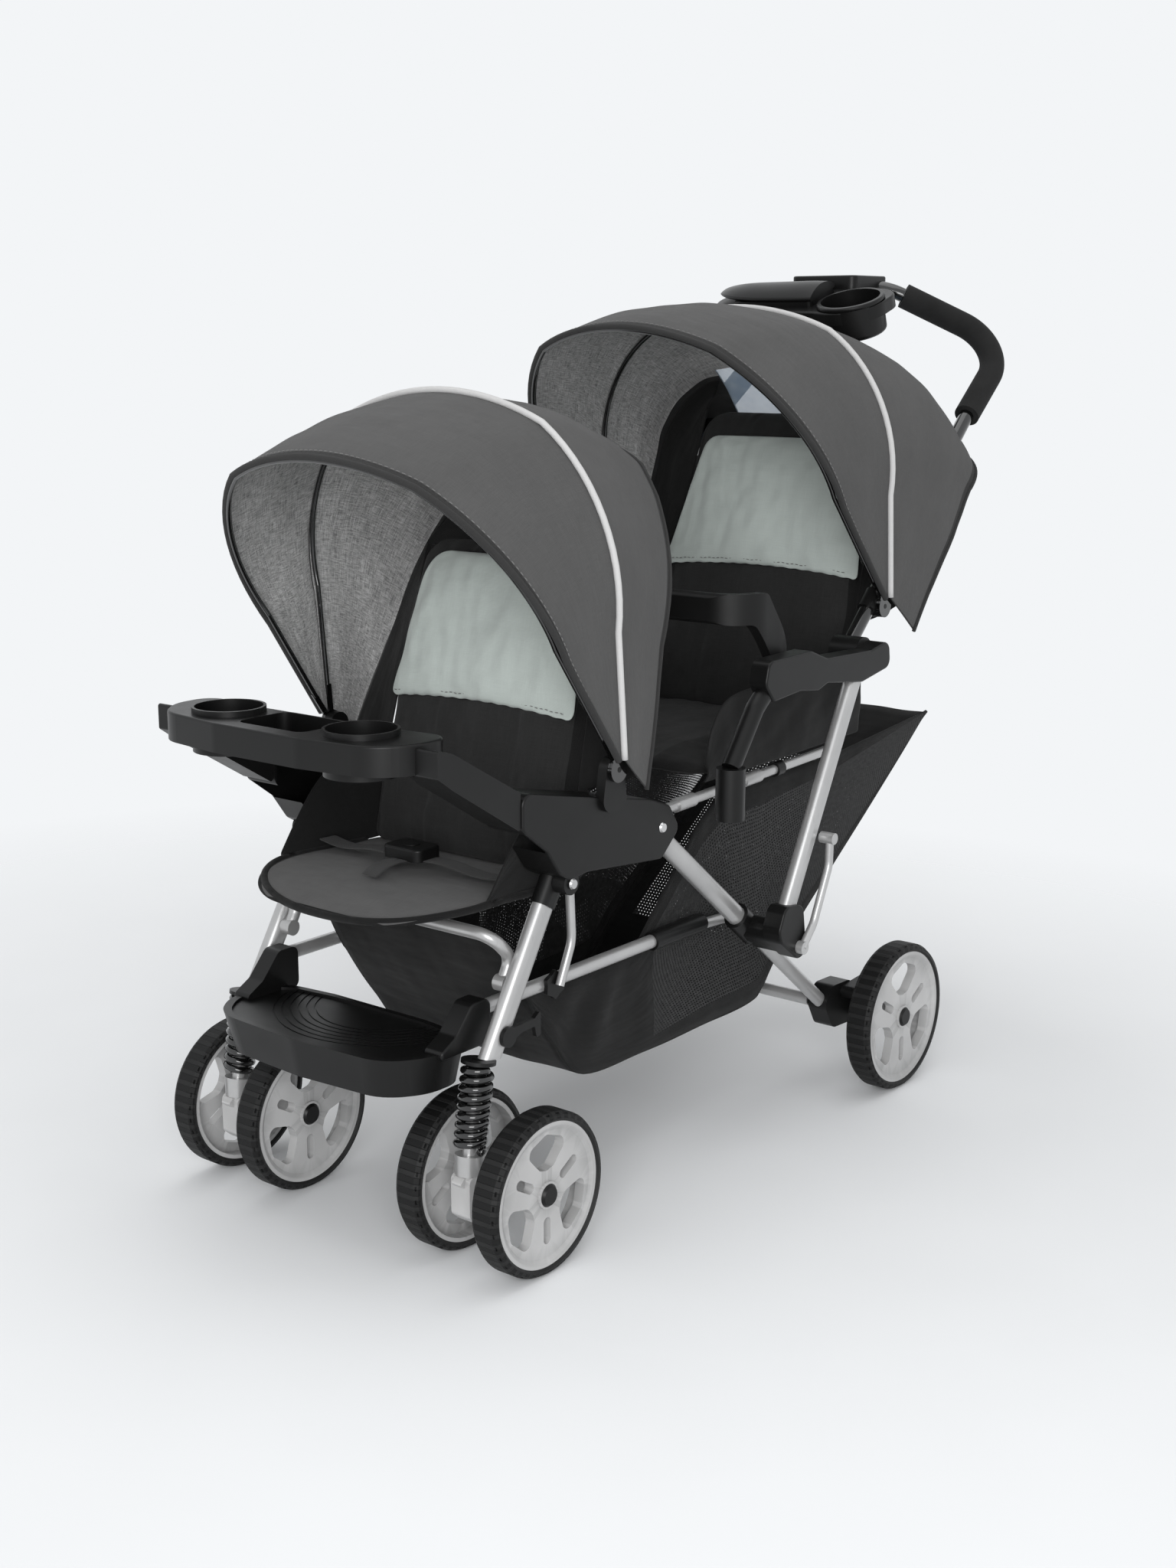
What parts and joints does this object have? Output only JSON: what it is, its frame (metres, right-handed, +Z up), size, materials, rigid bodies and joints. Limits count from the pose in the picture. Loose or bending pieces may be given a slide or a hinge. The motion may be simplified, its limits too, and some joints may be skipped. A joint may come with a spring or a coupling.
{
  "type": "tandem stroller",
  "caption": "Tandem stroller with two seats in line on a folding tube frame, canopies, trays, a large mesh basket, sprung swivelling front casters and braked rear wheels.",
  "frame": {"origin": "centre of the bounding box at ground level, where the wheels stand", "axes": "+Z up, -Y the way the stroller travels, +X the stroller's left side"},
  "size_m": [0.5376, 1.1996, 1.0372],
  "materials": {
    "steel": "satin silver-grey paint",
    "dark_tube": "gloss black",
    "black": "satin black",
    "pale": "satin light grey",
    "rim_grey": "satin mid grey",
    "tyre": "matt black",
    "bolt": "zinc plated",
    "foam": "matt foam",
    "cloth_dark": "woven dark grey",
    "mesh": "black net",
    "webbing": "black webbing"
  },
  "bodies": {
    "front_frame": {"front_legs": "steel", "front_armrests": "black", "frame_bolts": "bolt", "seat_rails": "steel", "side_rails": "steel", "frame_sleeves": "black", "child_tray": "black", "footrest": "black", "front_seat": "cloth_dark", "rear_seat": "cloth_dark", "basket": "mesh", "harness": "webbing", "buckle": "black"},
    "rear_frame": {"rear_legs": "steel", "fold_clamps": "black", "rear_hubs": "black", "rear_axles": "bolt"},
    "handle_frame": {"handle_posts": "steel", "post_shoes": "black", "rear_armrests": "black", "struts": "dark_tube", "handle_bar": "steel", "handle_grips": "foam", "console": "black", "rear_hood": "cloth_dark", "rear_hood_bow": "black"},
    "front_canopy": {"front_hood": "cloth_dark", "front_hood_bow": "black"},
    "front_visor_flap": {"front_visor": "cloth_dark", "front_visor_bow": "black"},
    "rear_visor_flap": {"rear_visor": "cloth_dark", "rear_visor_bow": "black"},
    "front_back": {"front_seat_back": "cloth_dark"},
    "rear_back": {"rear_seat_back": "cloth_dark"},
    "grab_bar_arm": {"grab_bar": "dark_tube"},
    "console_cover": {"console_lid": "black"},
    "buckle_press": {"buckle_button": "pale"},
    "latch_hook": {"storage_latch": "black"},
    "suspension_left": {"swivel_collar_left": "black", "spring_left": "dark_tube"},
    "caster_left": {"fork_left": "pale", "front_axle_left": "bolt"},
    "front_wheel_left_inner": {"front_rim_left_inner": "rim_grey", "front_tyre_left_inner": "tyre"},
    "front_wheel_left_outer": {"front_rim_left_outer": "rim_grey", "front_tyre_left_outer": "tyre"},
    "rear_wheel_left": {"rear_rim_left": "rim_grey", "rear_tyre_left": "tyre"},
    "brake_left": {"brake_lever_left": "pale"},
    "suspension_right": {"swivel_collar_right": "black", "spring_right": "dark_tube"},
    "caster_right": {"fork_right": "pale", "front_axle_right": "bolt"},
    "front_wheel_right_inner": {"front_rim_right_inner": "rim_grey", "front_tyre_right_inner": "tyre"},
    "front_wheel_right_outer": {"front_rim_right_outer": "rim_grey", "front_tyre_right_outer": "tyre"},
    "rear_wheel_right": {"rear_rim_right": "rim_grey", "rear_tyre_right": "tyre"},
    "brake_right": {"brake_lever_right": "pale"}
  },
  "joints": [
    {"name": "spring_travel_left", "type": "slide", "parent": "front_frame", "child": "suspension_left", "axis": [0, 0.1692, 0.9856], "range_m": [0, 0.01], "stiffness_N_per_m": 8000, "springref_m": -0.01, "deforming": ["spring_left"]},
    {"name": "caster_swivel_left", "type": "hinge", "parent": "suspension_left", "child": "caster_left", "pos_m": [0.177, -0.483, 0.113], "axis": [0, 0, 1], "continuous": true},
    {"name": "front_wheel_spin_left_outer", "type": "hinge", "parent": "caster_left", "child": "front_wheel_left_outer", "pos_m": [0.23, -0.435, 0.089], "axis": [1, 0, 0], "continuous": true},
    {"name": "front_wheel_spin_left_inner", "type": "hinge", "parent": "caster_left", "child": "front_wheel_left_inner", "pos_m": [0.124, -0.435, 0.089], "axis": [1, 0, 0], "continuous": true},
    {"name": "spring_travel_right", "type": "slide", "parent": "front_frame", "child": "suspension_right", "axis": [0, 0.1692, 0.9856], "range_m": [0, 0.01], "stiffness_N_per_m": 8000, "springref_m": -0.01, "deforming": ["spring_right"]},
    {"name": "caster_swivel_right", "type": "hinge", "parent": "suspension_right", "child": "caster_right", "pos_m": [-0.177, -0.483, 0.113], "axis": [0, 0, 1], "continuous": true},
    {"name": "front_wheel_spin_right_outer", "type": "hinge", "parent": "caster_right", "child": "front_wheel_right_outer", "pos_m": [-0.23, -0.435, 0.089], "axis": [1, 0, 0], "continuous": true},
    {"name": "front_wheel_spin_right_inner", "type": "hinge", "parent": "caster_right", "child": "front_wheel_right_inner", "pos_m": [-0.124, -0.435, 0.089], "axis": [1, 0, 0], "continuous": true},
    {"name": "frame_fold", "type": "hinge", "parent": "front_frame", "child": "rear_frame", "pos_m": [0, -0.19, 0.429], "axis": [-1, 0, 0], "range_deg": [0, 36]},
    {"name": "handle_fold", "type": "hinge", "parent": "rear_frame", "child": "handle_frame", "pos_m": [0, 0.033, 0.244], "axis": [1, 0, 0], "range_deg": [0, 36], "deforming": ["rear_hood"]},
    {"name": "rear_wheel_spin_left", "type": "hinge", "parent": "rear_frame", "child": "rear_wheel_left", "pos_m": [0.251, 0.263, 0.096], "axis": [1, 0, 0], "continuous": true},
    {"name": "brake_press_left", "type": "hinge", "parent": "rear_frame", "child": "brake_left", "pos_m": [0.21, 0.222, 0.1284], "axis": [-1, 0, 0], "range_deg": [0, 8]},
    {"name": "rear_wheel_spin_right", "type": "hinge", "parent": "rear_frame", "child": "rear_wheel_right", "pos_m": [-0.251, 0.263, 0.096], "axis": [1, 0, 0], "continuous": true},
    {"name": "brake_press_right", "type": "hinge", "parent": "rear_frame", "child": "brake_right", "pos_m": [-0.21, 0.222, 0.1284], "axis": [-1, 0, 0], "range_deg": [0, 8]},
    {"name": "front_back_recline", "type": "hinge", "parent": "front_frame", "child": "front_back", "pos_m": [0, -0.262, 0.3853], "axis": [-1, 0, 0], "range_deg": [0, 15]},
    {"name": "rear_back_recline", "type": "hinge", "parent": "front_frame", "child": "rear_back", "pos_m": [0, 0.282, 0.4713], "axis": [-1, 0, 0], "range_deg": [0, 35]},
    {"name": "front_canopy_fold", "type": "hinge", "parent": "front_frame", "child": "front_canopy", "pos_m": [0, -0.283, 0.512], "axis": [-1, 0, 0], "range_deg": [0, 30], "deforming": ["front_hood"]},
    {"name": "front_visor_fold", "type": "hinge", "parent": "front_canopy", "child": "front_visor_flap", "pos_m": [0, -0.283, 0.512], "axis": [-1, 0, 0], "range_deg": [0, 20], "deforming": ["front_visor"]},
    {"name": "rear_visor_fold", "type": "hinge", "parent": "handle_frame", "child": "rear_visor_flap", "pos_m": [0, 0.262, 0.628], "axis": [-1, 0, 0], "range_deg": [0, 24], "deforming": ["rear_visor"]},
    {"name": "grab_bar_swing", "type": "hinge", "parent": "handle_frame", "child": "grab_bar_arm", "pos_m": [0, 0.054, 0.575], "axis": [-1, 0, 0], "range_deg": [0, 60]},
    {"name": "console_lid_hinge", "type": "hinge", "parent": "handle_frame", "child": "console_cover", "pos_m": [0, 0.4294, 1.0253], "axis": [-1, 0, 0], "range_deg": [0, 80]},
    {"name": "buckle_button_press", "type": "slide", "parent": "front_frame", "child": "buckle_press", "axis": [0, 0, -1], "range_m": [0, 0.003], "stiffness_N_per_m": 400, "springref_m": -0.001},
    {"name": "latch_swing", "type": "hinge", "parent": "front_frame", "child": "latch_hook", "pos_m": [0.1898, -0.434, 0.254], "axis": [-1, 0, 0], "range_deg": [0, 40]}
  ],
  "couplings": [
    {"joint": "handle_fold", "follows": "frame_fold", "ratio": 1}
  ]
}
